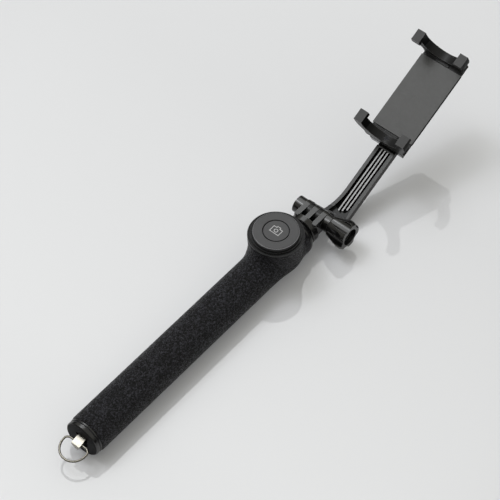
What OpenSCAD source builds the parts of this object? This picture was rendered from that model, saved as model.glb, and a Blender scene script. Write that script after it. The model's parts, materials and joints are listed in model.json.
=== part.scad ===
// Folding selfie stick: telescoping pole in a grip handle, a wireless shutter button,
// a pivoting arm locked by a thumb knob, and a sprung phone clamp.
// Millimetres. +X runs along the stick towards the phone clamp, +Z is the button's side,
// and the handle lies on z = 0.

/* [Handle] */
// Outer radius of the grip cover
grip_r = 11.7; // [11.3:0.1:12.5]
// Length of the handle, from its bottom face to the end of its top bezel
handle_len = 184.6; // [180:0.2:195]
// Length of the smooth cap at the bottom
cap_len = 4; // [3:0.25:6]
// Length of the smooth bezel at the top
bezel_len = 3.6; // [3:0.2:5]
// Thickness of the grip cover
cover_t = 1.35; // [1:0.05:1.6]
// Bore radius of the handle tube
handle_bore_r = 8.05; // [8.05:0.05:8.2]

/* [Wrist ring] */
// Radius of the ring's wire
ring_wire_r = 0.65; // [0.5:0.05:0.8]
// Half of the D ring's width, to the middle of the wire
ring_half_w = 8.2; // [7:0.2:9]
// Depth of the D ring, from the middle of its bar to the middle of its bow
ring_depth = 11.5; // [10:0.5:13]
// Angle by which the ring droops below level
ring_droop = 12; // [0:1:20]

/* [Shutter pod] */
// Distance from the handle's bottom face to the middle of the pod
pod_x = 162.8; // [158:0.2:163]
// Radius of the pod's flange
pod_flange_r = 16.3; // [16:0.1:17]
// Height of the cover disc's top face above the table
pod_top_z = 34.6; // [34.2:0.2:36]
// Radius of the cover disc
pod_disc_r = 13.5; // [13:0.1:14]
// Radius of the shutter button
button_r = 7.2; // [6.5:0.05:7.4]
// How far the shutter button can be pressed
button_travel = 0.3; // [0.2:0.05:0.3]

/* [Telescoping pole] */
// Outer radius of the widest tube
pole_r = 7.4; // [7.3:0.05:7.4]
// Radius lost from each tube to the next
pole_step = 1; // [0.9:0.05:1]
// Wall thickness of the tubes
pole_wall = 0.45; // [0.35:0.05:0.45]
// Where the tubes' lower ends stand when the pole is closed
pole_foot_x = 34; // [30:1:40]
// Length of the friction bush on each tube's lower end
bush_len = 8; // [6:0.5:9]
// Length of the narrowed mouth at each tube's upper end
neck_len = 4; // [3:0.5:5]

/* [Hinge] */
// Distance from the handle's bottom face to the hinge axis
hinge_x = 199.1; // [198.5:0.1:201]
// Height of the hinge axis above the table
hinge_z = 14; // [13:0.2:15]
// Thickness of each hinge prong
prong_t = 3; // [2.8:0.05:3]
// Distance from one head prong to the next
prong_pitch = 6.2; // [6.2:0.05:6.5]
// Radius of the prongs' rounded ends
prong_r = 5.8; // [5.6:0.1:6]
// Radius of the clamping bolt
bolt_r = 2.4; // [2.2:0.05:2.5]
// Largest radius of the thumb knob
knob_r = 9; // [8.5:0.1:9.5]
// Length of the thumb knob, its neck included
knob_len = 17.6; // [16:0.2:19]

/* [Arm] */
// Angle of the arm above the stick
arm_angle = 25; // [0:1:40]
// Sideways offset of the arm and clamp from the stick's middle plane
arm_offset = -7.3; // [-8:0.1:-7]
// Width of the arm
arm_w = 12.4; // [12:0.1:13]
// Depth of the arm's channel section
arm_depth = 4.2; // [4:0.1:4.6]

/* [Phone clamp] */
// Distance from the hinge axis to the outer face of the lower jaw
jaw_low_x = 57.3; // [56:0.1:58]
// Distance from the hinge axis to the outer face of the upper jaw when closed
jaw_high_x = 122.3; // [121:0.1:124]
// Width of the face plate
plate_w = 28.2; // [27:0.2:28.4]
// Height of the face plate above the hinge axis, square to the arm
plate_n = -3.5; // [-4:0.1:-3]
// Outer radius of the C-shaped jaws
jaw_r = 17.8; // [17.4:0.1:18.4]
// Inner radius of the C-shaped jaws
jaw_bore_r = 12.4; // [12:0.1:12.8]
// Length of each jaw along the arm, across its hooked tips
jaw_len = 7.5; // [7:0.1:8]
// How far the upper jaw pulls out
jaw_travel = 30; // [20:1:30]

/* [Hidden] */

$fn = 96;
cut = 0.5;            // how far a cutting shape runs past the face it cuts
run_gap = 0.05;       // radial clearance of a running fit
seat_gap = 0.05;      // clearance between two fixed pieces
pin_gap = 0.03;       // radial clearance of a fixed pin
lap = 0.1;            // how far two shapes of one solid run into each other
screw_r = 0.8;        // radius of the small screws' shanks
screw_head_r = 1.4;
screw_head_t = 0.9;
screw_head_room = 0.15;
screw_slot_w = 0.3;
screw_slot_depth = 0.4;
screw_slot_half = 0.6 * screw_head_r;

stick_z = grip_r;     // height of the stick's axis

// Handle
core_r = grip_r - cover_t - seat_gap;
cap_r = grip_r - 0.45;
cap_chamfer = 0.6;
cap_plug_end = 30;
cap_plug_bore_r = 4;
cap_groove_x = 0.6 * cap_len;
cap_groove_w = 0.5;
cap_groove_depth = 0.4;
recess_side = 7.8;
recess_depth = 6.5;
bezel_x = handle_len - bezel_len;
bezel_end_r = grip_r - 1.8;
bezel_rim_r = grip_r - 0.15;
bezel_rim_len = 1;
bezel_plug_len = 6;
bezel_bore_r = pole_r + run_gap;

// Wrist ring
stud_axis_x = -2.6;
stud_w = 5.6;
stud_h = 4.8;
stud_end_x = -5.1;
stud_slope = 1.5;     // how much lower the top face is at its outer end
stud_inner_x = recess_depth - 0.4;
stud_round_r = stud_w / 2 + 0.05;
stud_shank_r = 1.5;
stud_head_x = 20;
stud_head_t = 1.2;
stud_head_r = 2.6;
ring_bow_x = ring_depth - ring_half_w;
ring_bar_half = sqrt(pow(ring_half_w, 2) - pow(ring_bow_x, 2));
ring_bar_r = ring_wire_r - 0.05;
ring_hole_r = ring_bar_r + 0.08;
ring_lap_angle = asin(ring_wire_r / ring_half_w);   // how far the bow's ends pass the bar
ring_bow_angle = atan2(ring_bar_half, -ring_bow_x) + ring_lap_angle;

// Shutter pod
skirt_low_r = pod_flange_r - 1.1;
skirt_foot_r = grip_r - 0.4;
skirt_foot_z = 8.5;
skirt_low_z = 14.5;
flange_z = pod_top_z - 3.2;
flange_t = 0.9;
pod_wall_r = 14.6;
pod_seat_z = pod_top_z - 2.2;
pod_cavity_r = 12;
pod_floor_z = stick_z + core_r + seat_gap + 1.2;
pod_foot_z = pod_floor_z - 6;
disc_chamfer = 0.5;
disc_hole_r = button_r + 0.55;
spigot_len = 1;
spigot_wall = 1.2;
button_top_z = pod_top_z - 0.2;
button_flange_r = button_r + 1;
button_flange_t = 0.8;
button_flange_top = pod_seat_z - 0.1;
button_stem_r = 2;
mark_rise = 0.15;
cell_r = 8;
cell_t = 3.2;
cell_step_t = 0.4;
cell_step_r = cell_r - 0.8;
clip_t = 0.25;
clip_w = 5;
clip_x = cell_r + 0.3;
clip_tip_x = 2;
board_t = 1;
board_r = pod_cavity_r - 0.4;
board_notch_r = screw_head_r + 0.3;
board_z = pod_floor_z + cell_t + 2 * clip_t + 0.1;
switch_side = 5.2;
switch_t = 1.6;
switch_z = board_z + board_t;
plunger_r = 1.6;
plunger_pocket = 0.6;
plunger_foot_z = switch_z + plunger_pocket + button_travel + 0.1;
plunger_top = switch_z + switch_t + button_travel + 0.25;
pod_screw_x = 10.2;
pod_screw_len = 2.6;
pod_screw_hole_len = 3;

// Telescoping pole
pole_count = 5;
pole_top_x = handle_len + 0.2;
tube_top_step = 0.15;

// Hinge
collar_r = grip_r - 2.1;
collar_x = pole_top_x + pole_count * tube_top_step + 0.2;
slot_x = hinge_x - 9.1;
socket_end_x = slot_x - 0.5;
collar_chamfer = 0.5;
head_socket_r = pole_r - (pole_count - 1) * pole_step + 0.02;
head_pin_r = 0.7;
head_pin_half = collar_r - 0.6;
head_pin_x = (collar_x + socket_end_x) / 2;
bolt_bore_r = bolt_r + 0.1;
boss_r = 5.3;
boss_len = 5.6;
prong_side = prong_pitch + prong_t / 2;
nut_flats = 7.9;
nut_pocket_flats = nut_flats + 0.2;
nut_t = 4;
nut_end_y = prong_side + boss_len - 0.4;
prong_root = 1;       // how far a prong runs into the collar
lug_y = prong_pitch / 2;
lug_t = prong_t;
lug_r = prong_r - 0.2;
lug_web_r = lug_r - 0.25;   // the web's sides run into the eye, a little inside its edge

// Thumb knob, measured from its face on the prongs towards -Y
knob_face_y = -prong_side - 0.1;
knob_neck_r = 5.3;
knob_neck_len = 3.9;
knob_flare_len = knob_len - 4.2;
knob_lobes = 5;
knob_turn = 28;       // turns a flute towards the button side
flute_r = 4.4;
flute_reach = knob_r + 1.9;
knob_recess_r = 5.4;
knob_recess = 3.2;
knob_shoulder_r = knob_neck_r + 1.2;
knob_shoulder_len = knob_neck_len + 1;
knob_rim_len = 1.6;   // the outer end is drawn in over this length
knob_rim_r = knob_r - 0.9;
flute_start = knob_neck_len + 0.6;
bolt_end_y = knob_face_y - knob_len + knob_recess - 0.5;

// Arm, in the clamp's own frame: x along the arm, z square to the face plate
arm_front = -7.5;
arm_back = arm_front - arm_depth;
arm_floor_t = 1.4;
arm_flange_t = 2.1;
arm_end = 76;
rib_pitch = 2.15;
rib_t = 0.9;
rib_drop = 0.7;
rib_gap = 2.6;        // from the channel's rounded end to the ribs
channel_half = arm_w / 2 - arm_flange_t;
channel_bend_r = 2 * channel_half;
channel_bend_x = 16.5;
flare_x = 24;         // where the left edge starts to sweep out to the fork
flare_r = 40;
arc_lap = 0.05;       // keeps the arm's arcs from only touching its straight edges
fork_y = lug_y + lug_t / 2 - arm_offset;
root_start = 0.5;
root_end = 7.5;
arm_seat_x = jaw_low_x - 1;          // where the arm steps down to go under the clamp
channel_end = arm_seat_x - 0.8;
arm_screw_sink = 1;
arm_screw_len = 3.6;
arm_screw_reach = 2.6;

// Phone clamp, in the same frame
jaw_axis_z = jaw_r - 3.4;
claw_tip_z = jaw_axis_z + 2.7;
lip = 2.2;
jaw_wall = jaw_len - lip;
plate_t = 2.3;
plate_start = jaw_low_x + jaw_len + 0.4;
plate_end = jaw_high_x - jaw_len;
body_half = 11.5;
body_back = arm_back + 3.1;
slide_half = 8.3;
slide_floor = body_back + 2;
slide_start = jaw_low_x + 9;
tongue_t = 1.4;
tongue_start = slide_start + 4;
tongue_stop_len = 3;
tongue_top = -plate_t - 0.3;
body_seat_z = -3.45;  // where the lower jaw sits on the body
foot_half = 14;
foot_low = -2;
foot_top = -1.1;
tab_half = 4.3;       // a raised tab in the middle of each jaw's foot
tab_top = -0.25;
jaw_base_z = jaw_axis_z - sqrt(pow(jaw_r, 2) - pow(foot_half, 2)) + lap;
foot_inset = 0.4;
pad_t = 0.8;
pad_lap = 0.01;       // the pad's pocket runs this far past the face it is cut into
pad_margin = 0.7;
pad_low_z = 0.05;
pad_height = jaw_axis_z - 1.25;
peg_r = 0.5;
spring_start = slide_start + 1.6;
spring_end = spring_start + 16;
spring_y = 4.6;
spring_r = 1.05;
spring_wire_r = 0.2;
spring_z = (slide_floor + tongue_t - plate_t) / 2;
stop_len = 1.2;
stop_half = 0.7;
stop_y = slide_half - 0.9;
stop_depth = 2.2;
tongue_half = slide_half - 0.1;
jaw_screw_x = jaw_low_x + jaw_wall / 2 + 0.4;
jaw_screw_sink = 2;
jaw_screw_len = 6.4;
jaw_screw_hole_len = body_seat_z - body_back - 2.8;
jaw_screw_top = 3;
plate_screw_len = 6.6;
plate_hole_depth = 1.6;
arm_screw_xs = [jaw_low_x + 2.7, jaw_low_x + 6.7];
plate_screw_xs = [plate_start + 4, plate_end - 4];
plate_screw_y = (slide_half + body_half) / 2;

// The part's origin is the middle of its bounding box at table height. The far end is the
// lower corner of the upper jaw's foot.
ring_tip_x = stud_axis_x - ring_depth * cos(ring_droop) - ring_wire_r;
foot_end_x = jaw_high_x - foot_inset;
foot_low_z = slide_floor + run_gap;
jaw_tip_x = hinge_x + foot_end_x * cos(arm_angle) - (plate_n + foot_low_z) * sin(arm_angle);
row_x = (ring_tip_x + jaw_tip_x) / 2;
row_y = (pod_flange_r + knob_face_y - knob_len) / 2;

// ---------- Frames and shared shapes ----------

// Places a shape modelled in the stick's frame into the part's frame.
module in_row() {
  translate([-row_x, -row_y, 0]) children();
}

// Turns +Z shapes to run along the stick's axis from x.
module along_stick(x) {
  in_row() translate([x, 0, stick_z]) rotate([0, 90, 0]) children();
}

// A tube along the stick's axis.
module stick_tube(x0, x1, outer_r, inner_r) {
  along_stick(x0) difference() {
    cylinder(h = x1 - x0, r = outer_r);
    translate([0, 0, -cut]) cylinder(h = x1 - x0 + 2 * cut, r = inner_r);
  }
}

// A cylinder along Y between two y values, at a place in the stick's frame.
module cross_cylinder(x, z, y0, y1, r) {
  translate([x, y1, z]) rotate([90, 0, 0]) cylinder(h = y1 - y0, r = r);
}

// The arm's frame: origin on the hinge axis, x along the arm.
module arm_frame() {
  in_row() translate([hinge_x, 0, hinge_z]) rotate([0, -arm_angle, 0]) children();
}

// The clamp's frame: as the arm's, with y = 0 on the clamp's middle and z = 0 on the face plate.
module clamp_frame() {
  arm_frame() translate([0, arm_offset, plate_n]) children();
}

// A box given by its x range, half width in y and z range.
module bar(x0, x1, half_y, z0, z1) {
  translate([x0, -half_y, z0]) cube([x1 - x0, 2 * half_y, z1 - z0]);
}

// A pan-head screw pointing down from z = 0, its head above, with a cross-shaped drive.
module small_screw(length) {
  difference() {
    union() {
      cylinder(h = screw_head_t, r = screw_head_r, $fn = 48);
      translate([0, 0, -length]) cylinder(h = length + lap, r = screw_r, $fn = 48);
    }
    for (turn = [0, 90]) rotate([0, 0, turn])
      bar(-screw_slot_half, screw_slot_half, screw_slot_w / 2,
          screw_head_t - screw_slot_depth, screw_head_t + cut);
  }
}

// The hole for a small screw and its head, pointing down from z = 0.
module screw_hole(length, head_depth) {
  translate([0, 0, -length]) cylinder(h = length + cut, r = screw_r + seat_gap, $fn = 48);
  translate([0, 0, -head_depth])
    cylinder(h = head_depth + cut, r = screw_head_r + screw_head_room, $fn = 48);
}

// ---------- Handle ----------

module grip_cover() {
  color([0.11, 0.11, 0.12]) difference() {
    union() {
      along_stick(cap_len) cylinder(h = bezel_x - cap_len, r = grip_r);
      in_row() translate([pod_x, 0, skirt_foot_z])
        cylinder(h = skirt_low_z - skirt_foot_z, r1 = skirt_foot_r, r2 = skirt_low_r);
      in_row() translate([pod_x, 0, skirt_low_z])
        cylinder(h = flange_z - flange_t - skirt_low_z, r1 = skirt_low_r, r2 = pod_flange_r);
    }
    along_stick(cap_len - cut)
      cylinder(h = bezel_x - cap_len + 2 * cut, r = core_r + seat_gap);
    in_row() translate([pod_x, 0, pod_foot_z - seat_gap])
      cylinder(h = pod_top_z, r = pod_wall_r + seat_gap);
  }
}

module handle_tube() {
  color([0.55, 0.56, 0.58]) difference() {
    stick_tube(cap_len, bezel_x, core_r, handle_bore_r);
    for (side = [-1, 1])
      in_row() translate([pod_x + side * pod_screw_x, 0, pod_floor_z])
        screw_hole(pod_screw_hole_len, 0);
  }
}

module end_cap() {
  color([0.13, 0.13, 0.14]) difference() {
    union() {
      along_stick(0) cylinder(h = cap_chamfer, r1 = cap_r - cap_chamfer, r2 = cap_r);
      along_stick(cap_chamfer) cylinder(h = cap_len - cap_chamfer, r = cap_r);
      along_stick(cap_len) cylinder(h = cap_plug_end - cap_len, r = handle_bore_r - seat_gap);
    }
    in_row() translate([-cut, -recess_side / 2, stick_z - recess_side / 2])
      cube([recess_depth + cut, recess_side, recess_side]);
    along_stick(0) cylinder(h = stud_head_x + cut, r = stud_shank_r + run_gap);
    along_stick(stud_head_x)
      cylinder(h = cap_plug_end - stud_head_x + cut, r = cap_plug_bore_r);
    along_stick(cap_groove_x) difference() {
      cylinder(h = cap_groove_w, r = cap_r + cut);
      translate([0, 0, -cut])
        cylinder(h = cap_groove_w + 2 * cut, r = cap_r - cap_groove_depth);
    }
  }
}

module ring_stud() {
  color([0.8, 0.8, 0.8]) difference() {
    union() {
      stud_block();
      along_stick(0) cylinder(h = stud_head_x + 2 * lap, r = stud_shank_r);
      along_stick(stud_head_x + run_gap) cylinder(h = stud_head_t, r = stud_head_r);
    }
    in_row() cross_cylinder(stud_axis_x, stick_z, -stud_w, stud_w, ring_hole_r);
  }
}

// The stud's head: rounded underneath, with a top face that slopes down to the outer end.
module stud_block() {
  intersection() {
    in_row() translate([0, stud_w / 2, stick_z]) rotate([90, 0, 0]) linear_extrude(stud_w)
      polygon([
        [stud_end_x, -stud_h / 2 - cut], [stud_inner_x, -stud_h / 2 - cut],
        [stud_inner_x, stud_h / 2], [0, stud_h / 2], [stud_end_x, stud_h / 2 - stud_slope]
      ]);
    in_row() translate([stud_end_x - cut, 0, stick_z - stud_h / 2 + stud_round_r]) union() {
      rotate([0, 90, 0]) cylinder(h = stud_inner_x - stud_end_x + 2 * cut, r = stud_round_r);
      bar(0, stud_inner_x - stud_end_x + 2 * cut, stud_w, 0, stud_h);
    }
  }
}

// The D ring: a straight bar that ends inside one wide bow of slightly thicker wire.
module wrist_ring() {
  color([0.85, 0.85, 0.86])
  in_row() translate([stud_axis_x, 0, stick_z]) rotate([0, -ring_droop, 0])
  rotate([0, 0, 180]) {
    cross_cylinder(0, 0, -ring_bar_half, ring_bar_half, ring_bar_r, $fn = 32);
    translate([ring_bow_x, 0, 0]) rotate([0, 0, -ring_bow_angle])
      rotate_extrude(angle = 2 * ring_bow_angle)
        translate([ring_half_w, 0]) circle(r = ring_wire_r, $fn = 32);
  }
}

module top_bezel() {
  color([0.16, 0.16, 0.17]) difference() {
    union() {
      along_stick(bezel_x) cylinder(h = bezel_rim_len, r = bezel_rim_r);
      along_stick(bezel_x + bezel_rim_len)
        cylinder(h = bezel_len - bezel_rim_len, r1 = bezel_rim_r, r2 = bezel_end_r);
      along_stick(bezel_x - bezel_plug_len)
        cylinder(h = bezel_plug_len + lap, r = handle_bore_r - seat_gap);
    }
    along_stick(bezel_x - bezel_plug_len - cut)
      cylinder(h = bezel_plug_len + bezel_len + 2 * cut, r = bezel_bore_r);
  }
}

// ---------- Shutter pod ----------

module pod_base() {
  color([0.09, 0.09, 0.1]) difference() {
    in_row() translate([pod_x, 0, 0]) union() {
      translate([0, 0, pod_foot_z]) cylinder(h = pod_seat_z - pod_foot_z, r = pod_wall_r);
      translate([0, 0, flange_z - flange_t]) cylinder(h = flange_t, r = pod_flange_r);
    }
    along_stick(pod_x - 2 * pod_flange_r)
      cylinder(h = 4 * pod_flange_r, r = core_r + seat_gap);
    in_row() translate([pod_x, 0, pod_floor_z]) {
      cylinder(h = pod_top_z, r = pod_cavity_r);
      for (side = [-1, 1]) translate([side * pod_screw_x, 0, 0]) screw_hole(pod_screw_hole_len, 0);
    }
  }
}

module pod_cover() {
  color([0.2, 0.2, 0.21]) in_row() translate([pod_x, 0, pod_seat_z]) difference() {
    union() {
      translate([0, 0, pod_top_z - pod_seat_z - disc_chamfer])
        cylinder(h = disc_chamfer, r1 = pod_disc_r, r2 = pod_disc_r - disc_chamfer);
      cylinder(h = pod_top_z - pod_seat_z - disc_chamfer, r = pod_disc_r);
      translate([0, 0, -spigot_len]) cylinder(h = spigot_len + lap, r = pod_cavity_r - seat_gap);
    }
    translate([0, 0, -spigot_len - cut])
      cylinder(h = spigot_len + cut, r = pod_cavity_r - spigot_wall);
    translate([0, 0, -cut]) cylinder(h = pod_top_z, r = disc_hole_r);
  }
}

// The button's face carries a raised outline of a camera.
module shutter_button() {
  color([0.24, 0.24, 0.25]) in_row() translate([pod_x, 0, 0]) {
    translate([0, 0, button_flange_top - button_flange_t])
      cylinder(h = button_flange_t, r = button_flange_r);
    translate([0, 0, button_flange_top - lap])
      cylinder(h = button_top_z - button_flange_top + lap, r = button_r);
    translate([0, 0, plunger_top + run_gap])
      cylinder(h = button_flange_top - plunger_top - run_gap, r = button_stem_r);
    translate([0, 0, button_top_z - lap]) linear_extrude(mark_rise + lap) camera_mark();
  }
}

// A generic camera outline, its top edge towards the phone clamp.
module camera_mark() {
  mark_w = 6.6;
  mark_h = 4.6;
  line_t = 0.45;
  hump_w = 2.6;
  hump_h = 2 * line_t;
  lens_r = 1.3;
  difference() {
    union() {
      square([mark_h, mark_w], center = true);
      translate([mark_h / 2 - lap, -hump_w / 2]) square([hump_h + lap, hump_w]);
    }
    square([mark_h - 2 * line_t, mark_w - 2 * line_t], center = true);
    translate([mark_h / 2, 0]) square([hump_h, hump_w - 2 * line_t], center = true);
  }
  difference() {
    circle(r = lens_r);
    circle(r = lens_r - line_t);
  }
}

module circuit_board() {
  color([0.1, 0.35, 0.2]) in_row() translate([pod_x, 0, board_z]) difference() {
    cylinder(h = board_t, r = board_r);
    for (side = [-1, 1]) translate([side * pod_screw_x, 0, -cut])
      cylinder(h = board_t + 2 * cut, r = board_notch_r, $fn = 48);
  }
}

module tact_switch() {
  color([0.15, 0.15, 0.16]) in_row() translate([pod_x, 0, switch_z]) difference() {
    translate([-switch_side / 2, -switch_side / 2, 0])
      cube([switch_side, switch_side, switch_t]);
    translate([0, 0, plunger_pocket]) cylinder(h = switch_t, r = plunger_r + run_gap);
  }
}

module switch_plunger() {
  color([0.75, 0.3, 0.15]) in_row() translate([pod_x, 0, plunger_foot_z])
    cylinder(h = plunger_top - plunger_foot_z, r = plunger_r);
}

module coin_cell() {
  color([0.75, 0.76, 0.78]) in_row() translate([pod_x, 0, pod_floor_z + clip_t]) {
    cylinder(h = cell_t - cell_step_t, r = cell_r);
    translate([0, 0, cell_t - cell_step_t - lap])
      cylinder(h = cell_step_t + lap, r = cell_step_r);
  }
}

// A strip under the cell, up one side and back over its top.
module cell_clip() {
  clip_h = board_z - pod_floor_z;
  color([0.8, 0.65, 0.35]) in_row() translate([pod_x, 0, pod_floor_z])
  rotate([0, 0, 90]) {
    bar(-clip_x, clip_x, clip_w / 2, 0, clip_t);
    bar(clip_x, clip_x + clip_t, clip_w / 2, 0, clip_h);
    bar(clip_tip_x, clip_x + clip_t, clip_w / 2, clip_h - clip_t, clip_h);
  }
}

module pod_screws() {
  color([0.6, 0.6, 0.62])
  for (side = [-1, 1])
    in_row() translate([pod_x + side * pod_screw_x, 0, pod_floor_z])
      small_screw(pod_screw_len);
}

// ---------- Telescoping pole ----------

function tube_r(i) = pole_r - (i - 1) * pole_step;
function tube_bore_r(i) = tube_r(i) - pole_wall;
function tube_top(i) = pole_top_x + (i - 1) * tube_top_step;

// Tube i slides in tube i - 1, and its mouth is narrowed onto tube i + 1.
module pole_tube(i) {
  top = tube_top(i);
  color([0.16, 0.16, 0.17]) difference() {
    along_stick(pole_foot_x) cylinder(h = top - pole_foot_x, r = tube_r(i));
    along_stick(pole_foot_x - cut)
      cylinder(h = top - neck_len - pole_foot_x + cut, r = tube_bore_r(i));
    along_stick(top - neck_len - cut)
      cylinder(h = neck_len + 2 * cut, r = tube_r(i + 1) + run_gap);
  }
}

// The last tube has no narrowed mouth: its end is pinned in the pole's head.
module last_pole_tube() {
  color([0.16, 0.16, 0.17]) difference() {
    stick_tube(pole_foot_x, socket_end_x, tube_r(pole_count), tube_bore_r(pole_count));
    in_row() cross_cylinder(head_pin_x, stick_z, -collar_r, collar_r, head_pin_r + pin_gap);
  }
}

// A bush pressed on tube i's lower end, sliding in the bore around it.
module pole_bush(i) {
  outer = (i == 1 ? handle_bore_r : tube_bore_r(i - 1)) - run_gap;
  color([0.75, 0.62, 0.35])
    stick_tube(pole_foot_x, pole_foot_x + bush_len, outer, tube_r(i));
}

module pole_tube_1() { pole_tube(1); }
module pole_tube_2() { pole_tube(2); }
module pole_tube_3() { pole_tube(3); }
module pole_tube_4() { pole_tube(4); }
module pole_tube_5() { last_pole_tube(); }
module pole_bush_1() { pole_bush(1); }
module pole_bush_2() { pole_bush(2); }
module pole_bush_3() { pole_bush(3); }
module pole_bush_4() { pole_bush(4); }
module pole_bush_5() { pole_bush(5); }

// ---------- Hinge ----------

// One head prong, centred on y.
module head_prong(y) {
  cross_cylinder(hinge_x, hinge_z, y - prong_t / 2, y + prong_t / 2, prong_r);
  translate([slot_x - prong_root, y - prong_t / 2, hinge_z - prong_r])
    cube([hinge_x - slot_x + prong_root, prong_t, 2 * prong_r]);
}

module pole_head() {
  color([0.13, 0.13, 0.14]) difference() {
    union() {
      along_stick(collar_x)
        cylinder(h = collar_chamfer, r1 = collar_r - collar_chamfer, r2 = collar_r);
      along_stick(collar_x + collar_chamfer)
        cylinder(h = slot_x - collar_x - collar_chamfer, r = collar_r);
      in_row() {
        for (i = [-1, 0, 1]) head_prong(i * prong_pitch);
        cross_cylinder(hinge_x, hinge_z, prong_side - lap, prong_side + boss_len, boss_r);
      }
    }
    along_stick(collar_x - cut)
      cylinder(h = socket_end_x - collar_x + cut, r = head_socket_r);
    in_row() {
      cross_cylinder(hinge_x, hinge_z, -2 * prong_side, nut_end_y + lap, bolt_bore_r);
      cross_cylinder(head_pin_x, stick_z, -2 * collar_r, 2 * collar_r, head_pin_r + pin_gap);
      nut_space(nut_end_y - nut_t - lap, prong_side + boss_len + cut, nut_pocket_flats);
    }
  }
}

// A six-sided space along Y for the nut.
module nut_space(y0, y1, flats) {
  translate([hinge_x, y1, hinge_z]) rotate([90, 0, 0])
    cylinder(h = y1 - y0, r = flats / 2 / cos(30), $fn = 6);
}

module head_pin() {
  color([0.7, 0.7, 0.72])
  in_row() cross_cylinder(head_pin_x, stick_z, -head_pin_half, head_pin_half, head_pin_r);
}

module hinge_nut() {
  color([0.7, 0.7, 0.72]) in_row() difference() {
    nut_space(nut_end_y - nut_t, nut_end_y, nut_flats);
    cross_cylinder(hinge_x, hinge_z, 0, 2 * nut_end_y, bolt_r + run_gap);
  }
}

module hinge_bolt() {
  color([0.7, 0.7, 0.72])
  in_row() cross_cylinder(hinge_x, hinge_z, bolt_end_y, nut_end_y - lap, bolt_r);
}

// The knob flares from a plain neck to five lobes, with a hollow outer end.
module hinge_knob() {
  color([0.12, 0.12, 0.13])
  in_row() translate([hinge_x, knob_face_y, hinge_z]) rotate([90, 0, 0]) difference() {
    rotate_extrude() polygon([
      [bolt_r, 0], [knob_neck_r, 0], [knob_neck_r, knob_neck_len],
      [knob_shoulder_r, knob_shoulder_len], [knob_r, knob_flare_len],
      [knob_r, knob_len - knob_rim_len], [knob_rim_r, knob_len],
      [knob_recess_r, knob_len], [knob_recess_r, knob_len - knob_recess],
      [bolt_r, knob_len - knob_recess]
    ]);
    translate([0, 0, flute_start]) linear_extrude(knob_len) knob_flutes();
  }
}

module knob_flutes() {
  for (i = [0 : knob_lobes - 1])
    rotate(knob_turn + 360 / knob_lobes * i) translate([flute_reach, 0]) circle(r = flute_r);
}

// ---------- Arm ----------

// The arm seen square to its face, drawn in by an inset. Its left edge sweeps to the fork.
module arm_outline(inset) {
  difference() {
    union() {
      translate([root_start, inset - arm_w / 2])
        square([arm_seat_x - root_start, arm_w - 2 * inset]);
      translate([root_start, 0]) square([flare_x - root_start, fork_y - inset]);
    }
    translate([flare_x, arm_w / 2 + arc_lap + flare_r]) circle(r = flare_r + inset, $fn = 360);
  }
}

// The channel's outline: the arm's, with a rounded end next to the fork.
module channel_outline() {
  difference() {
    arm_outline(arm_flange_t);
    translate([channel_end, -arm_w]) square([arm_w, 2 * arm_w]);
    translate([-cut, -arm_w]) square([channel_bend_x - channel_bend_r + cut, 3 * arm_w]);
    difference() {
      translate([-cut, -arm_w]) square([channel_bend_x + cut, arm_w + channel_half]);
      translate([channel_bend_x, channel_half]) circle(r = channel_bend_r + arc_lap);
    }
  }
}

// Where a rib at y starts, just past the channel's rounded end.
function rib_start(y) =
  channel_bend_x - sqrt(pow(channel_bend_r, 2) - pow(channel_half - y, 2)) + rib_gap;

// Where a line from a point touches a circle round the origin, on the given side.
function tangent_point(p, r, side) =
  let (turn = atan2(p[1], p[0]) + side * acos(r / norm(p))) [r * cos(turn), r * sin(turn)];

// One lug of the fork, in the arm's own frame: a round eye and a web down to the root.
module arm_lug(y) {
  back = [root_start, plate_n + arm_back];
  front = [root_end, plate_n + arm_front];
  translate([0, y + lug_t / 2, 0]) rotate([90, 0, 0]) linear_extrude(lug_t) {
    circle(r = lug_r);
    polygon([
      tangent_point(back, lug_web_r, -1), back, [root_end, plate_n + arm_back], front,
      tangent_point(front, lug_web_r, 1)
    ]);
  }
}

module arm() {
  color([0.15, 0.15, 0.16]) difference() {
    union() {
      clamp_frame() {
        difference() {
          translate([0, 0, arm_back]) linear_extrude(arm_depth) arm_outline(0);
          translate([0, 0, arm_back + arm_floor_t]) linear_extrude(arm_depth)
            channel_outline();
        }
        for (i = [-1, 0, 1]) translate([0, i * rib_pitch, 0])
          bar(rib_start(i * rib_pitch), channel_end + lap, rib_t / 2,
              arm_back + lap, arm_front - rib_drop);
        bar(arm_seat_x - lap, arm_end, arm_w / 2, arm_back, body_back - seat_gap);
      }
      arm_frame() for (side = [-1, 1]) arm_lug(side * lug_y);
    }
    arm_frame() cross_cylinder(0, 0, -prong_side, prong_side, bolt_bore_r);
    for (x = arm_screw_xs) clamp_frame()
      translate([x, 0, arm_back]) mirror([0, 0, 1])
        screw_hole(2 * arm_depth, arm_screw_sink);
  }
}

module arm_screws() {
  color([0.6, 0.6, 0.62])
  for (x = arm_screw_xs) clamp_frame()
    translate([x, 0, arm_back + arm_screw_sink]) mirror([0, 0, 1])
      small_screw(arm_screw_len);
}

// ---------- Phone clamp ----------

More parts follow.
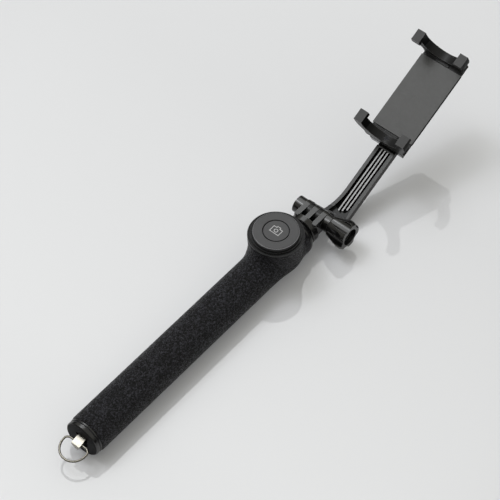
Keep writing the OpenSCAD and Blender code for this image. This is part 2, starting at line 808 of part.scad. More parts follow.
module holder_body() {
  color([0.14, 0.14, 0.15]) clamp_frame() difference() {
    union() {
      bar(jaw_low_x, plate_end, body_half, body_back, body_seat_z);
      bar(plate_start, plate_end, body_half, body_back, -plate_t - seat_gap);
    }
    difference() {
      bar(slide_start, plate_end + cut, slide_half, slide_floor, cut);
      for (side = [-1, 1]) translate([spring_start, side * spring_y, slide_floor - cut])
        cylinder(h = -plate_t - lap - slide_floor + cut, r = peg_r, $fn = 32);
    }
    for (x = plate_screw_xs, side = [-1, 1])
      translate([x, side * plate_screw_y, body_back]) mirror([0, 0, 1])
        screw_hole(-2 * body_back, arm_screw_sink);
    for (x = arm_screw_xs) translate([x, 0, body_back + arm_screw_reach])
      screw_hole(2 * arm_screw_reach, 0);
    translate([jaw_screw_x, 0, body_seat_z]) screw_hole(jaw_screw_hole_len, 0);
  }
}

module face_plate() {
  stop_x = tongue_start + tongue_stop_len + jaw_travel + 0.2;
  color([0.3, 0.3, 0.31]) clamp_frame() difference() {
    union() {
      bar(plate_start, plate_end, plate_w / 2, -plate_t, 0);
      for (side = [-1, 1]) translate([0, side * stop_y, 0])
        bar(stop_x, stop_x + stop_len, stop_half, -plate_t - stop_depth, -plate_t + lap);
    }
    for (x = plate_screw_xs, side = [-1, 1])
      translate([x, side * plate_screw_y, -plate_t - cut])
        cylinder(h = plate_hole_depth + cut, r = screw_r + seat_gap, $fn = 48);
  }
}

module plate_screws() {
  color([0.6, 0.6, 0.62])
  for (x = plate_screw_xs, side = [-1, 1])
    clamp_frame() translate([x, side * plate_screw_y, body_back + arm_screw_sink])
      mirror([0, 0, 1]) small_screw(plate_screw_len);
}

// The jaw's C-shaped outline in the plane square to the arm, with its tips and its wider base.
module jaw_outline() {
  difference() {
    union() {
      circle(r = jaw_r);
      translate([-foot_half, foot_low - jaw_axis_z])
        square([2 * foot_half, jaw_base_z - foot_low]);
      translate([-jaw_r, 0]) square([2 * jaw_r, claw_tip_z - jaw_axis_z]);
    }
    circle(r = jaw_bore_r);
    translate([-jaw_bore_r, 0]) square([2 * jaw_bore_r, jaw_r + cut]);
    translate([-2 * jaw_r, claw_tip_z - jaw_axis_z]) square([4 * jaw_r, 2 * jaw_r]);
  }
}

// The outline drawn between two x values of the clamp's frame.
module jaw_slice(x0, x1) {
  translate([x0, 0, jaw_axis_z]) rotate([90, 0, 90]) linear_extrude(x1 - x0) children();
}

// Hooked tips: the outline's ends alone.
module jaw_tips(x0, x1) {
  jaw_slice(x0, x1) intersection() {
    jaw_outline();
    translate([-2 * jaw_r, -1]) square([4 * jaw_r, 2 * jaw_r]);
  }
}

// A rubber lining for the jaw's inner face.
module jaw_lining() {
  intersection() {
    difference() {
      circle(r = jaw_r - pad_margin);
      circle(r = jaw_bore_r + pad_margin);
    }
    translate([-jaw_r, pad_low_z - jaw_axis_z]) square([2 * jaw_r, pad_height]);
  }
}

module lower_jaw() {
  wall_end = jaw_low_x + jaw_wall;
  foot_end = jaw_low_x + jaw_len + 0.2;
  color([0.17, 0.17, 0.18]) clamp_frame() difference() {
    union() {
      jaw_slice(jaw_low_x, wall_end) jaw_outline();
      jaw_tips(jaw_low_x, jaw_low_x + jaw_len);
      bar(jaw_low_x + foot_inset, foot_end, foot_half, foot_low, foot_top);
      bar(jaw_low_x + foot_inset, foot_end, body_half, body_seat_z + seat_gap, foot_top);
      bar(wall_end - foot_inset, foot_end - foot_inset, tab_half, foot_top - lap, tab_top);
    }
    jaw_slice(wall_end - pad_t, wall_end + pad_lap) jaw_lining();
    translate([jaw_screw_x, 0, jaw_screw_top]) screw_hole(3 * jaw_screw_top, jaw_screw_sink);
  }
}

module lower_jaw_pad() {
  wall_end = jaw_low_x + jaw_wall;
  color([0.07, 0.07, 0.07]) clamp_frame() jaw_slice(wall_end - pad_t, wall_end) jaw_lining();
}

module jaw_screw() {
  color([0.5, 0.5, 0.52]) clamp_frame() translate([jaw_screw_x, 0, jaw_screw_top - jaw_screw_sink])
    small_screw(jaw_screw_len);
}

module upper_jaw() {
  wall_start = jaw_high_x - jaw_wall;
  foot_start = plate_end + 0.2;
  color([0.17, 0.17, 0.18]) clamp_frame() difference() {
    union() {
      jaw_slice(wall_start, jaw_high_x) jaw_outline();
      jaw_tips(jaw_high_x - jaw_len, jaw_high_x);
      bar(foot_start, foot_end_x, foot_half, foot_low, foot_top);
      bar(foot_start, foot_end_x, body_half, foot_low_z, foot_top);
      bar(foot_start + foot_inset, wall_start + foot_inset, tab_half, foot_top - lap, tab_top);
      bar(tongue_start, foot_start + cut, tongue_half, foot_low_z, slide_floor + tongue_t);
      for (side = [-1, 1]) translate([0, side * stop_y, 0])
        bar(tongue_start, tongue_start + tongue_stop_len, stop_half, foot_low_z, tongue_top);
      for (side = [-1, 1]) translate([spring_end, side * spring_y, slide_floor + tongue_t - lap])
        cylinder(h = tongue_top - slide_floor - tongue_t + lap, r = peg_r, $fn = 32);
    }
    jaw_slice(wall_start - pad_lap, wall_start + pad_t) jaw_lining();
  }
}

module upper_jaw_pad() {
  wall_start = jaw_high_x - jaw_wall;
  color([0.07, 0.07, 0.07]) clamp_frame()
    jaw_slice(wall_start, wall_start + pad_t) jaw_lining();
}

// A close-wound tension spring along +X, its end loops round pegs at x = 0 and x = length.
module tension_spring(length) {
  loop_r = peg_r + lap + spring_wire_r;
  wound = length - 2 * loop_r;
  turns = floor(wound / (2 * spring_wire_r));
  pitch = wound / turns;
  for (x = [0, length]) translate([x, 0, 0])
    rotate_extrude($fn = 32) translate([loop_r, 0]) circle(r = spring_wire_r, $fn = 16);
  translate([loop_r, 0, 0]) rotate([0, 90, 0]) rotate_extrude($fn = 32) polygon(concat(
    [[0, wound], [0, 0]],
    [for (i = [0 : turns - 1], half = [0, 0.5])
      [spring_r - (half == 0 ? spring_wire_r / 2 : 0), pitch * (i + half)]],
    [[spring_r - spring_wire_r / 2, wound]]
  ));
}

module jaw_springs() {
  color([0.75, 0.75, 0.77])
  for (side = [-1, 1])
    clamp_frame() translate([spring_start, side * spring_y, spring_z])
      tension_spring(spring_end - spring_start);
}

grip_cover();
handle_tube();
end_cap();
ring_stud();
wrist_ring();
top_bezel();
pod_base();
pod_cover();
shutter_button();
circuit_board();
tact_switch();
switch_plunger();
coin_cell();
cell_clip();
pod_screws();
pole_tube_1();
pole_tube_2();
pole_tube_3();
pole_tube_4();
pole_tube_5();
pole_bush_1();
pole_bush_2();
pole_bush_3();
pole_bush_4();
pole_bush_5();
pole_head();
head_pin();
hinge_nut();
hinge_bolt();
hinge_knob();
arm();
arm_screws();
holder_body();
face_plate();
plate_screws();
lower_jaw();
jaw_screw();
lower_jaw_pad();
upper_jaw();
upper_jaw_pad();
jaw_springs();
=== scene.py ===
"""Looks for a folding selfie stick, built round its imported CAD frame. Metres; +X along the stick."""
import json
import math

import bmesh
import bpy
import numpy as np
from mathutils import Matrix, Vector


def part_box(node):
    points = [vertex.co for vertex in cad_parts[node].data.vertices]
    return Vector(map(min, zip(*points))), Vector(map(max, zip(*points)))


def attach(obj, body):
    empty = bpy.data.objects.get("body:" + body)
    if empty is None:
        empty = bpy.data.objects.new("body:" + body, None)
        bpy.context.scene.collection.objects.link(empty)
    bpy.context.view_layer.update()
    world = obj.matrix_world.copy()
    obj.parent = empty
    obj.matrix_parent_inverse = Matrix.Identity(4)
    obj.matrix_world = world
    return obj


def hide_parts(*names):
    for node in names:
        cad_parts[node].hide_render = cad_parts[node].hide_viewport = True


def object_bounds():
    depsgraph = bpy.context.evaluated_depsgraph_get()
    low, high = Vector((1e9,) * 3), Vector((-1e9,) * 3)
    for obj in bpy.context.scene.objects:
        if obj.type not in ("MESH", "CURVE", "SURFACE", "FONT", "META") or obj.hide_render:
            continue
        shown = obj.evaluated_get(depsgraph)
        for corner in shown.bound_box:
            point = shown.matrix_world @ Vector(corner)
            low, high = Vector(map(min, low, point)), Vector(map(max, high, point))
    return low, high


MM = 0.001

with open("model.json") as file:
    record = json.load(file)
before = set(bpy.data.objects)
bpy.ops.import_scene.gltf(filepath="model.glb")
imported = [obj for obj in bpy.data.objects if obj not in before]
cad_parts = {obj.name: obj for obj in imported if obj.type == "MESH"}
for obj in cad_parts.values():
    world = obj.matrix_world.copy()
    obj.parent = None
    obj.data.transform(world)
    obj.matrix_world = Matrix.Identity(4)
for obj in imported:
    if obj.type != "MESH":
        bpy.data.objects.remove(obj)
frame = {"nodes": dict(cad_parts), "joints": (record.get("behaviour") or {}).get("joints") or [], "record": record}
cad_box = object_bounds()
nodes = frame["nodes"]
scene = bpy.context.scene
scene.view_settings.view_transform = "Standard"


# ---------- Places taken from the frame ----------

def centre(node):
    """Middle of a CAD node's box."""
    low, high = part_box(node)
    return (low + high) / 2


def pivot_of(joint_name):
    """The point that a joint turns about."""
    joint = next(joint for joint in frame["joints"] if joint["name"] == joint_name)
    return Vector(joint["pos_m"])


AXIS_Y = centre("pole_tube_1").y
AXIS_Z = centre("pole_tube_1").z
POD = centre("pod_cover")
FLOOR_Z = cad_box[0].z


# ---------- Camera ----------

CAMERA_AZIMUTH = -50.371
CAMERA_ELEVATION = 52.328
CAMERA_ROLL = 0.433
CAMERA_DISTANCE = 1.2244
CAMERA_LENS = 154.18
CAMERA_SENSOR = 36
CAMERA_TARGET = Vector((0.00654, 0.018008, 0.012))


def make_camera():
    """A long lens looking down the stick from beyond its wrist ring."""
    azimuth = math.radians(CAMERA_AZIMUTH)
    elevation = math.radians(CAMERA_ELEVATION)
    back = Vector((
        math.sin(azimuth) * math.cos(elevation),
        -math.cos(azimuth) * math.cos(elevation),
        math.sin(elevation),
    ))
    data = bpy.data.cameras.new("camera")
    data.sensor_width = CAMERA_SENSOR
    data.lens = CAMERA_LENS
    data.clip_start = 0.01
    data.clip_end = 20
    camera = bpy.data.objects.new("camera", data)
    scene.collection.objects.link(camera)
    camera.location = CAMERA_TARGET + back * CAMERA_DISTANCE
    turn = (-back).to_track_quat("-Z", "Y").to_matrix()
    roll = math.radians(CAMERA_ROLL)
    right = turn.col[0] * math.cos(roll) + turn.col[1] * math.sin(roll)
    up = turn.col[1] * math.cos(roll) - turn.col[0] * math.sin(roll)
    turn.col[0] = right
    turn.col[1] = up
    camera.rotation_mode = "QUATERNION"
    camera.rotation_quaternion = turn.to_quaternion()
    scene.camera = camera


make_camera()


# ---------- Node helpers ----------

# How nearly the rounded and the true surface agree in direction, on a flat face and at an edge.
AGREE_ON_FLAT = 0.98
AGREE_AT_EDGE = 0.8

# Most of a noise's values lie in this band, so it is the band that gets stretched.
NOISE_LOW = 0.3
NOISE_HIGH = 0.7


class Tree:
    """Short calls for building one material's nodes."""

    def __init__(self, name):
        self.material = bpy.data.materials.new(name)
        self.material.use_nodes = True
        self.nodes = self.material.node_tree.nodes
        self.links = self.material.node_tree.links
        self.shader = self.nodes["Principled BSDF"]
        self.place = self.add("ShaderNodeTexCoord").outputs["Object"]

    def add(self, kind, inputs=None, **settings):
        """A node with its properties set and its inputs linked or filled in."""
        made = self.nodes.new(kind)
        for key, value in settings.items():
            setattr(made, key, value)
        for key, value in (inputs or {}).items():
            self.put(made.inputs[key], value)
        return made

    def put(self, socket, value):
        """Links a socket, or gives it a plain value."""
        if isinstance(value, bpy.types.NodeSocket):
            self.links.new(value, socket)
        else:
            socket.default_value = value

    def surface(self, **inputs):
        """Sets the shader's inputs, with a low line in a name for each space."""
        for name, value in inputs.items():
            self.put(self.shader.inputs[name.replace("_", " ")], value)

    def noise(self, size, detail=2.0, place=None):
        """Noise whose features are about this size in metres."""
        made = self.add("ShaderNodeTexNoise", {
            "Vector": place or self.place, "Scale": 1 / size, "Detail": detail,
        })
        return made.outputs["Fac"]

    def remap(self, value, low, high, out_low, out_high):
        """Stretches a value from one range to another."""
        made = self.add("ShaderNodeMapRange", {
            "Value": value, "From Min": low, "From Max": high,
            "To Min": out_low, "To Max": out_high,
        })
        return made.outputs["Result"]

    def spread(self, noise, out_low, out_high):
        """Stretches the usual band of a noise to a range."""
        return self.remap(noise, NOISE_LOW, NOISE_HIGH, out_low, out_high)

    def mix(self, factor, first, second):
        """A colour between two others."""
        made = self.add("ShaderNodeMix", data_type="RGBA")
        self.put(made.inputs["Factor"], factor)
        self.put(made.inputs["A"], first)
        self.put(made.inputs["B"], second)
        return made.outputs["Result"]

    def edges(self, radius):
        """1 along sharp edges, 0 on flat faces."""
        soft = self.add("ShaderNodeBevel", {"Radius": radius}, samples=4).outputs["Normal"]
        hard = self.add("ShaderNodeNewGeometry").outputs["Normal"]
        dot = self.add("ShaderNodeVectorMath", {0: soft, 1: hard}, operation="DOT_PRODUCT")
        return self.remap(dot.outputs["Value"], AGREE_ON_FLAT, AGREE_AT_EDGE, 0.0, 1.0)

    def bump(self, height, strength, distance):
        """Fine relief in the shading."""
        made = self.add("ShaderNodeBump", {
            "Height": height, "Strength": strength, "Distance": distance,
        })
        self.surface(Normal=made.outputs["Normal"])


def grey(value, blue=1.03):
    """A neutral colour, very slightly cool unless told otherwise."""
    return (value, value, value * blue, 1)


# ---------- Kinds of material ----------

CLOUD = 9 * MM
BLOTCH = 1.5 * MM
GRAIN = 0.35 * MM
GRAIN_DEPTH = 0.012 * MM
PEBBLE = 0.62 * MM
PEBBLE_DEPTH = 0.30 * MM
RUBBER_BLUE = 1.25
STREAK = 0.4 * MM
TRACK = 1.6 * MM
# Width of the paler edges, which are partly wear and partly painted highlight.
EDGE_WEAR_AND_HIGHLIGHT_WIDTH = 0.35 * MM
TONE_SPREAD = 0.07
ROUGH_SPREAD = 0.03


def moulded(name, tone, rough, edge_wear_and_highlight=1.8, tint=1.03, gloss=0.5, edge_wear_and_highlight_width=EDGE_WEAR_AND_HIGHLIGHT_WIDTH):
    """Moulded plastic: fine tooled grain, cloudy gloss, and paler edges that are partly wear and partly painted
    highlight.
    """
    t = Tree(name)
    cloud = t.spread(t.noise(CLOUD, 3), 0, 1)
    body = t.mix(cloud, grey(tone * (1 - TONE_SPREAD), tint), grey(tone * (1 + TONE_SPREAD), tint))
    t.surface(
        # The paler edges are painted highlight where the edge factor is large, and slight wear where it is small.
        Base_Color=t.mix(t.edges(edge_wear_and_highlight_width), body, grey(tone * edge_wear_and_highlight, tint)),
        Roughness=t.spread(t.noise(BLOTCH), rough - ROUGH_SPREAD, rough + ROUGH_SPREAD),
        Specular_IOR_Level=gloss,
    )
    t.bump(t.noise(GRAIN), 0.35, GRAIN_DEPTH)
    return t.material


def pebbled_rubber(name, tone):
    """Soft grip cover: close pebbles, a few of them pale and smoother, the rest dark and dull."""
    t = Tree(name)
    pebbles = t.add("ShaderNodeTexVoronoi", {
        "Vector": t.place, "Scale": 1 / PEBBLE, "Randomness": 1.0,
    })
    shade = t.add("ShaderNodeSeparateColor", {"Color": pebbles.outputs["Color"]}).outputs["Red"]
    height = t.remap(pebbles.outputs["Distance"], 0.1, 0.65, 1, 0)
    few = t.add("ShaderNodeMath", {0: shade, 1: 2.5}, operation="POWER").outputs["Value"]
    t.surface(
        Base_Color=t.mix(few, grey(tone * 0.02, RUBBER_BLUE), grey(tone * 12, RUBBER_BLUE)),
        Roughness=t.remap(shade, 0, 1, 0.64, 0.28),
        Specular_IOR_Level=0.25,
    )
    relief = t.add("ShaderNodeMath", {0: height, 1: shade}, operation="ADD").outputs["Value"]
    t.bump(relief, 1.0, PEBBLE_DEPTH)
    return t.material


def metal(name, colour, rough, streak=None):
    """Plated or turned metal, with faint streaks along one axis where it was brushed."""
    t = Tree(name)
    place = t.place
    if streak:
        stretched = t.add("ShaderNodeMapping", {"Vector": t.place, "Scale": streak})
        place = stretched.outputs["Vector"]
    lines = t.noise(STREAK, 3, place)
    dull = tuple(c * 0.88 for c in colour)
    t.surface(
        Base_Color=t.mix(lines, (*dull, 1), (*colour, 1)),
        Roughness=t.spread(lines, max(rough - 0.04, 0.02), rough + 0.06),
        Metallic=1,
    )
    t.bump(lines, 0.1, 0.01 * MM)
    return t.material


def solder_mask(name):
    """Green board with slightly raised copper beneath the mask."""
    t = Tree(name)
    tracks = t.remap(t.noise(TRACK, 0), 0.48, 0.52, 0, 1)
    t.surface(
        Base_Color=t.mix(tracks, (0.01, 0.07, 0.03, 1), (0.02, 0.12, 0.05, 1)),
        Roughness=0.3,
    )
    t.bump(tracks, 0.2, 0.03 * MM)
    return t.material


def table_top(name):
    """White laminate that mirrors most beneath the wrist ring and least beneath the clamp."""
    t = Tree(name)
    along = t.add("ShaderNodeSeparateXYZ", {"Vector": t.place}).outputs["X"]
    t.surface(
        Base_Color=t.mix(t.noise(0.4, 1), (0.785, 0.79, 0.825, 1), (0.805, 0.81, 0.845, 1)),
        Roughness=t.spread(t.noise(0.05), 0.0, 0.012),
        Specular_IOR_Level=t.remap(along, -0.10, 0.10, 1.0, 0.4),
    )
    return t.material


# ---------- Materials ----------

# Large edge factors below, as on the hinge, pod, cap, disc, arm and jaws, paint highlights along their edges.
MATERIALS = {
    "grip_rubber": pebbled_rubber("grip_rubber", 0.0045),
    "core_plastic": moulded("core_plastic", 0.03, 0.5),
    "cap_plastic": moulded("cap_plastic", 0.006, 0.15, edge_wear_and_highlight=10, tint=1.15, gloss=0.8),
    "chrome_ring": metal("chrome_ring", (0.20, 0.188, 0.162), 0.12),
    "pod_plastic": moulded("pod_plastic", 0.006, 0.28, edge_wear_and_highlight=14, gloss=0.15),
    "disc_plastic": moulded("disc_plastic", 0.050, 0.45, edge_wear_and_highlight=7, tint=1.08, edge_wear_and_highlight_width=0.5 * MM),
    "button_plastic": moulded("button_plastic", 0.050, 0.45, tint=1.08),
    "board": solder_mask("board"),
    "switch_plastic": moulded("switch_plastic", 0.02, 0.4),
    "plunger_plastic": moulded("plunger_plastic", 0.1, 0.4),
    "cell_steel": metal("cell_steel", (0.62, 0.62, 0.63), 0.25, (1, 30, 1)),
    "clip_brass": metal("clip_brass", (0.75, 0.55, 0.25), 0.3),
    "screw_steel": metal("screw_steel", (0.60, 0.60, 0.62), 0.25),
    "screw_black": metal("screw_black", (0.02, 0.02, 0.021), 0.35),
    "pole_metal": metal("pole_metal", (0.07, 0.07, 0.075), 0.3, (0.02, 1, 1)),
    "bush_brass": metal("bush_brass", (0.72, 0.53, 0.25), 0.32),
    # Painted highlight: an edge factor of 40 makes the hinge's edges far paler than its body.
    "hinge_plastic": moulded("hinge_plastic", 0.005, 0.13, edge_wear_and_highlight=40, gloss=0.7),
    "arm_plastic": moulded("arm_plastic", 0.008, 0.22, edge_wear_and_highlight=12, gloss=0.25),
    "plate_plastic": moulded("plate_plastic", 0.050, 0.42, tint=1.0, edge_wear_and_highlight=2.0),
    "jaw_plastic": moulded("jaw_plastic", 0.020, 0.34, edge_wear_and_highlight=10, gloss=0.16, edge_wear_and_highlight_width=0.3 * MM),
    "pad_rubber": moulded("pad_rubber", 0.010, 0.6),
}

# Finishes of single faces, and of the stud, which is paler than the ring it shares a slot with. Some are painted
# light and shade: dark sides on the plate and jaws, a dark arm channel, and pale arm ribs, arm rims and jaw tips.
PRINTED_LINE = moulded("printed_line", 0.48, 0.5)
CAP_FACE = moulded("cap_face", 0.006, 0.5, edge_wear_and_highlight=10, tint=1.15, gloss=0.08)
# Painted shade: the plate's sides are near black, far darker than its face.
PLATE_SIDE_PAINTED_SHADE = moulded("plate_side_painted_shade", 0.006, 0.5, edge_wear_and_highlight=1.5, gloss=0.1)
STUD_METAL = metal("stud_metal", (0.30, 0.282, 0.243), 0.26)
# Painted shade: the arm's channel floor is darker than the arm.
ARM_FLOOR_PAINTED_SHADE = moulded("arm_floor_painted_shade", 0.002, 0.6, edge_wear_and_highlight=1, gloss=0.1)
# Painted highlight: the ribs' crests are far paler than the arm.
ARM_RIB_PAINTED_HIGHLIGHT = moulded("arm_rib_painted_highlight", 0.28, 0.15, edge_wear_and_highlight=2, gloss=1.0)
# Painted light: the arm's front rims are paler than the arm.
ARM_RIM_PAINTED_LIGHT = moulded("arm_front", 0.050, 0.22, edge_wear_and_highlight=4, gloss=0.35)
# Painted light: the fronts of the jaws' tips are four times paler than the jaws.
JAW_TIP_PAINTED_LIGHT = moulded("jaw_tip_painted_light", 0.080, 0.36, edge_wear_and_highlight=2.5, gloss=0.12)
# Painted shade: the jaws' sides are darker than the jaws.
JAW_SIDE_PAINTED_SHADE = moulded("jaw_side_painted_shade", 0.006, 0.5, edge_wear_and_highlight=6, gloss=0.06)


def clothe(obj, material):
    """Gives an object one material in place of whatever it came with."""
    obj.data.materials.clear()
    obj.data.materials.append(material)


# ---------- CAD nodes that keep their shape ----------

# Width of the rounding along each node's sharp edges, in millimetres.
EDGE_WIDTHS = {
    "end_cap": 0.3, "top_bezel": 0.35, "pod_base": 0.3, "pod_cover": 0.4,
    "shutter_button": 0.12, "pole_head": 0.28, "hinge_knob": 0.3, "arm": 0.25,
    "face_plate": 0.3, "lower_jaw": 0.25, "upper_jaw": 0.25, "ring_stud": 0.5,
    "holder_body": 0.3,
}
SHARP_ANGLE = math.radians(28)
SEAM = 0.002 * MM


def soften(obj, width):
    """Rounds sharp edges, after joining the seams that the import leaves open."""
    for polygon in obj.data.polygons:
        polygon.use_smooth = True
    weld = obj.modifiers.new("weld", "WELD")
    weld.merge_threshold = SEAM
    bevel = obj.modifiers.new("round", "BEVEL")
    bevel.width = width * MM
    bevel.segments = 3
    bevel.limit_method = "ANGLE"
    bevel.angle_limit = SHARP_ANGLE
    bevel.use_clamp_overlap = True
    normals = obj.modifiers.new("normals", "WEIGHTED_NORMAL")
    normals.keep_sharp = False


for entry in frame["record"]["subparts"]:
    node = nodes[entry["node"]]
    clothe(node, MATERIALS[entry["material_slot"]])
    if entry["node"] in EDGE_WIDTHS:
        soften(node, EDGE_WIDTHS[entry["node"]])

clothe(nodes["ring_stud"], STUD_METAL)


# ---------- Faces with a finish of their own, some of it painted light and shade ---

FACING = 0.9          # a face looks one way if its direction agrees at least this much
SIDEWAYS = 0.5        # and is a side if it agrees less than this
PRINT_DEPTH = 0.02 * MM
TIP_DEPTH = 0.5 * MM
ARM_ROOT = 12 * MM    # from the hinge to where the arm's channel starts
RIB_DROP = 0.7 * MM   # from the arm's rims down to the crests of its ribs
RIB_REACH = 0.4 * MM  # how far a rib's crest may lie from that depth
ARM_DEPTH = 4.2 * MM


def finish_faces(name, material, chosen):
    """Gives the chosen faces of a CAD node a material of their own."""
    mesh = nodes[name].data
    mesh.materials.append(material)
    for polygon in mesh.polygons:
        if chosen(polygon):
            polygon.material_index = len(mesh.materials) - 1


def print_camera_mark():
    """The raised camera outline on the button's face is a paler print."""
    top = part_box("shutter_button")[1].z
    finish_faces("shutter_button", PRINTED_LINE, lambda face: face.center.z > top - PRINT_DEPTH)


def dull_cap_face():
    """The end cap's outer face and its recess are matt; only its band is polished."""
    finish_faces("end_cap", CAP_FACE, lambda face: face.normal.x < -FACING)


def paint_clamp_light_and_shade(outward):
    """Painted shade on the sides of the plate and the jaws, and painted light on the fronts of the jaws' tips."""
    # Painted shade on the plate's sides.
    finish_faces("face_plate", PLATE_SIDE_PAINTED_SHADE, lambda face: abs(face.normal.dot(outward)) < SIDEWAYS)
    for name in ("lower_jaw", "upper_jaw"):
        tip = max(face.center.dot(outward) for face in nodes[name].data.polygons)
        # Painted light on the fronts of the tips.
        finish_faces(name, JAW_TIP_PAINTED_LIGHT, lambda face: (
            tip - face.center.dot(outward) < TIP_DEPTH and face.normal.dot(outward) > FACING))
        # Painted shade on the jaws' sides.
        finish_faces(name, JAW_SIDE_PAINTED_SHADE, lambda face: abs(face.normal.y) > FACING)


def paint_arm_light_and_shade(outward):
    """Painted shade on the channel floor, painted highlights on the ribs' crests and painted light on the rims,
    clear of the arm's root.
    """
    along = Vector((outward.z, 0, -outward.x))
    hinge = pivot_of("arm_tilt")

    def fronts(face):
        return face.normal.dot(outward) > FACING and (face.center - hinge).dot(along) > ARM_ROOT

    rims = max(face.center.dot(outward) for face in nodes["arm"].data.polygons if fronts(face))

    def depth(face):
        return rims - face.center.dot(outward)

    def ribs(face):
        return fronts(face) and abs(depth(face) - RIB_DROP) < RIB_REACH

    # Painted shade on the channel floor.
    finish_faces("arm", ARM_FLOOR_PAINTED_SHADE, lambda face: (
        fronts(face) and not ribs(face) and RIB_DROP < depth(face) < ARM_DEPTH))
    # Painted highlight on the ribs' crests.
    finish_faces("arm", ARM_RIB_PAINTED_HIGHLIGHT, ribs)
    # Painted light on the rims.
    finish_faces("arm", ARM_RIM_PAINTED_LIGHT, lambda face: (
        fronts(face) and not ribs(face) and depth(face) < RIB_DROP))


# The clamp and the arm face the way that the plate's largest face does.
largest_face = max(nodes["face_plate"].data.polygons, key=lambda face: face.area)
clamp_outward = largest_face.normal.copy()

print_camera_mark()
dull_cap_face()
paint_clamp_light_and_shade(clamp_outward)
paint_arm_light_and_shade(clamp_outward)


# ---------- Grip cover ----------

COVER_THICKNESS = 1.3 * MM
GRIP_ROUNDING = 0.5 * MM
FILLET = 5.5 * MM
SKIRT_TAPER = 1.1 * MM
SKIRT_FOOT_Z = 11.5 * MM
FOOT_BLEND = 4 * MM
POD_OPENING = 14.4 * MM
LID_DEPTH = 0.05 * MM
POD_REACH = 24 * MM
FARTHEST = 32 * MM
STATIONS_ALL = 120
STATIONS_POD = 110
TURNS = 288
HALVINGS = 26
TINY = 1e-6


def smooth_union(first, second, blend):
    """The lower of two distances, rounded where they meet."""
    share = np.clip(0.5 + 0.5 * (second - first) / blend, 0, 1)
    return second * (1 - share) + first * share - blend * share * (1 - share)


def grip_distance(x, y, z):
    """Distance to the grip: a round handle run into the upright skirt of the button pod."""
    low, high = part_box("grip_cover")
    radius = AXIS_Z - low.z
    skirt_r = (high.y - low.y) / 2
    handle = np.hypot(y - AXIS_Y, z - AXIS_Z) - radius
    taper = np.clip((high.z - z) / (high.z - AXIS_Z), 0, 1)
    skirt = np.hypot(x - POD.x, y - AXIS_Y) - (skirt_r - SKIRT_TAPER * taper)
    foot = SKIRT_FOOT_Z - z
    skirt = -smooth_union(-skirt, -foot, FOOT_BLEND)
    return smooth_union(handle, skirt, FILLET)


def grip_reach(stations, across, upward):
    """How far the grip's surface is from the stick's axis, at each station and turn."""
    low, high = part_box("grip_cover")
    x = stations[:, None] + 0 * across
    near = np.zeros_like(x)
    far = np.full_like(x, FARTHEST)
    for _ in range(HALVINGS):
        middle = (near + far) / 2
        inside = grip_distance(x, AXIS_Y + middle * across, AXIS_Z + middle * upward) < 0
        near = np.where(inside, middle, near)
        far = np.where(inside, far, middle)
    ceiling = (high.z - AXIS_Z) / np.maximum(upward, TINY)
    reach = np.where(upward > 0, np.minimum(near, ceiling), near)
    floor = (AXIS_Z - low.z) / np.maximum(-upward, TINY)
    reach = np.where(upward < 0, np.minimum(reach, floor), reach)
    from_end = np.minimum(stations - low.x, high.x - stations)[:, None]
    inset = np.clip(GRIP_ROUNDING - from_end, 0, None)
    return reach - (GRIP_ROUNDING - np.sqrt(np.clip(GRIP_ROUNDING ** 2 - inset ** 2, 0, None)))


def remove_lid(mesh):
    """Opens the skirt's top where the pod's base stands on it."""
    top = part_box("grip_cover")[1].z
    lid = []
    for face in mesh.faces:
        middle = face.calc_center_median()
        out = math.hypot(middle.x - POD.x, middle.y - AXIS_Y)
        if middle.z > top - LID_DEPTH and out < POD_OPENING:
            lid.append(face)
    bmesh.ops.delete(mesh, geom=lid, context="FACES")


def make_grip():
    """A skin of rings round the stick's axis, with a lip at each end round the handle tube."""
    low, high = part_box("grip_cover")
    stations = np.unique(np.concatenate([
        np.linspace(low.x, high.x, STATIONS_ALL),
        np.linspace(POD.x - POD_REACH, high.x, STATIONS_POD),
    ]))
    turns = np.linspace(0, 2 * math.pi, TURNS, endpoint=False)
    across = np.sin(turns)[None, :]
    upward = np.cos(turns)[None, :]
    reach = grip_reach(stations, across, upward)
    inner = np.full_like(turns, AXIS_Z - low.z - COVER_THICKNESS)

    # A known fault: the upper lip comes before the last station, not after it.
    # So the hidden inside is a slight cone, from the outer edge at the bezel to the lower lip.
    places = [low.x, *stations[:-1], high.x, stations[-1]]
    profiles = [inner, *reach[:-1], inner, reach[-1]]
    mesh = bmesh.new()
    rings = []
    for x, radii in zip(places, profiles):
        rings.append([
            mesh.verts.new((x, AXIS_Y + radius * math.sin(turn), AXIS_Z + radius * math.cos(turn)))
            for radius, turn in zip(radii, turns)
        ])
    for first, second in zip(rings, rings[1:] + rings[:1]):
        for j in range(TURNS):
            k = (j + 1) % TURNS
            mesh.faces.new((first[j], first[k], second[k], second[j]))
    bmesh.ops.recalc_face_normals(mesh, faces=mesh.faces)
    remove_lid(mesh)

    data = bpy.data.meshes.new("grip_skin")
    mesh.to_mesh(data)
    mesh.free()
    for polygon in data.polygons:
        polygon.use_smooth = True
    grip = bpy.data.objects.new("grip_skin", data)
    scene.collection.objects.link(grip)
    clothe(grip, MATERIALS["grip_rubber"])
    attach(grip, "handle")
    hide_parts("grip_cover")


make_grip()


# ---------- Wrist ring ----------

WIRE_R = 0.65 * MM
RING_CORNER = 1.3 * MM
BAR_POINTS = 9
BOW_POINTS = 49


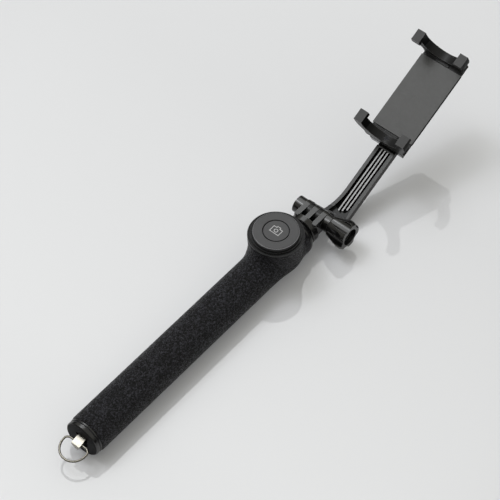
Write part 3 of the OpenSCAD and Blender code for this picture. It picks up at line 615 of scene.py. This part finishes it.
def make_wrist_ring():
    """One bent wire: a straight bar through the stud and a wide bow, with tight rounded corners."""
    low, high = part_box("wrist_ring")
    pivot = pivot_of("ring_swing")
    corners = np.array([vertex.co for vertex in nodes["wrist_ring"].data.vertices])
    reach = corners - np.array(pivot)
    tip = reach[np.argmin(reach[:, 0])]
    droop = math.atan2(-tip[2], -tip[0])
    half_width = (high.y - low.y) / 2
    depth = math.hypot(tip[0], tip[2]) - WIRE_R
    bow_r = half_width - WIRE_R
    bow_centre = depth - bow_r
    bar_half = math.sqrt(bow_r ** 2 - bow_centre ** 2)
    start = math.atan2(bar_half, -bow_centre)
    bar_end = bar_half - RING_CORNER
    outline = [(0.0, side) for side in np.linspace(-bar_end, bar_end, BAR_POINTS)]
    trim = RING_CORNER / bow_r
    for angle in np.linspace(start - trim, -start + trim, BOW_POINTS):
        outline.append((bow_centre + bow_r * math.cos(angle), bow_r * math.sin(angle)))

    curve = bpy.data.curves.new("wrist_ring_wire", "CURVE")
    curve.dimensions = "3D"
    curve.bevel_depth = WIRE_R
    curve.bevel_resolution = 6
    curve.resolution_u = 6
    line = curve.splines.new("NURBS")
    line.points.add(len(outline) - 1)
    line.use_cyclic_u = True
    line.order_u = 4
    for point, (out, side) in zip(line.points, outline):
        point.co = (
            pivot.x - out * math.cos(droop),
            pivot.y + side,
            pivot.z - out * math.sin(droop),
            1,
        )
    ring = bpy.data.objects.new("wrist_ring_wire", curve)
    scene.collection.objects.link(ring)
    clothe(ring, MATERIALS["chrome_ring"])
    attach(ring, "ring")
    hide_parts("wrist_ring")


make_wrist_ring()


# ---------- Table and light ----------

TABLE_SIZE = 6.0
TABLE_GAP = 0.02 * MM

# The surroundings: dark up to one height, as bright as a pale ceiling above another.
HORIZON_LEVEL = 0.04
HORIZON_TOP = 0.12
FILL_LEVEL = 0.52
FILL_START = 0.5
FILL_COLOUR = (1.0, 0.985, 0.89, 1)

LAMP_COLOUR = (0.955, 0.975, 1.0)
FADE_START = 0.25
FADE_END = 0.5
KEY_TOWARD = (-0.08, 0.45, 0.89)
SHEEN_TOWARD = (0.48, 0.39, 0.78)

# Name, direction, distance and width in metres, power in watts, and whether it casts a shadow.
LIGHTS = [
    ("key_light", KEY_TOWARD, 3.6, 3.2, 80.0, True),
    ("key_core", KEY_TOWARD, 3.55, 0.8, 18.0, True),
    ("sheen_light", SHEEN_TOWARD, 2.6, 2.0, 21.0, False),
]


def make_table():
    """The table top, just clear of the stick so that the two never touch."""
    bpy.ops.mesh.primitive_plane_add(size=TABLE_SIZE, location=(0, 0, FLOOR_Z - TABLE_GAP))
    table = bpy.context.object
    table.name = "table_top"
    clothe(table, table_top("table_top"))


def make_studio():
    """A pale ceiling that fades to dark walls, for fill."""
    world = bpy.data.worlds.new("studio")
    world.use_nodes = True
    tree = world.node_tree
    background = tree.nodes["Background"]
    background.inputs["Color"].default_value = FILL_COLOUR
    place = tree.nodes.new("ShaderNodeTexCoord")
    split = tree.nodes.new("ShaderNodeSeparateXYZ")
    fade = tree.nodes.new("ShaderNodeMapRange")
    fade.inputs["From Min"].default_value = HORIZON_TOP
    fade.inputs["From Max"].default_value = FILL_START
    fade.inputs["To Min"].default_value = HORIZON_LEVEL
    fade.inputs["To Max"].default_value = FILL_LEVEL
    tree.links.new(place.outputs["Generated"], split.inputs["Vector"])
    tree.links.new(split.outputs["Z"], fade.inputs["Value"])
    tree.links.new(fade.outputs["Result"], background.inputs["Strength"])
    scene.world = world


def fade_to_edges(light):
    """Makes an area light brightest in the middle, so its mirror image has no hard border."""
    light.use_nodes = True
    tree = light.node_tree
    place = tree.nodes.new("ShaderNodeNewGeometry")
    out = tree.nodes.new("ShaderNodeVectorMath")
    out.operation = "DISTANCE"
    out.inputs[1].default_value = (0.5, 0.5, 0)
    fade = tree.nodes.new("ShaderNodeMapRange")
    fade.interpolation_type = "SMOOTHSTEP"
    fade.inputs["From Min"].default_value = FADE_START
    fade.inputs["From Max"].default_value = FADE_END
    fade.inputs["To Min"].default_value = 1
    fade.inputs["To Max"].default_value = 0
    tree.links.new(place.outputs["Parametric"], out.inputs[0])
    tree.links.new(out.outputs["Value"], fade.inputs["Value"])
    tree.links.new(fade.outputs["Result"], tree.nodes["Emission"].inputs["Strength"])


def softbox(name, toward, distance, size, power, shadow):
    """A square soft light aimed at the stick's middle from a direction."""
    data = bpy.data.lights.new(name, "AREA")
    data.shape = "SQUARE"
    data.size = size
    data.energy = power
    data.color = LAMP_COLOUR
    data.use_shadow = shadow
    fade_to_edges(data)
    light = bpy.data.objects.new(name, data)
    scene.collection.objects.link(light)
    direction = Vector(toward).normalized()
    light.location = direction * distance
    light.rotation_mode = "QUATERNION"
    light.rotation_quaternion = (-direction).to_track_quat("-Z", "Y")


make_table()
make_studio()
for settings in LIGHTS:
    softbox(*settings)
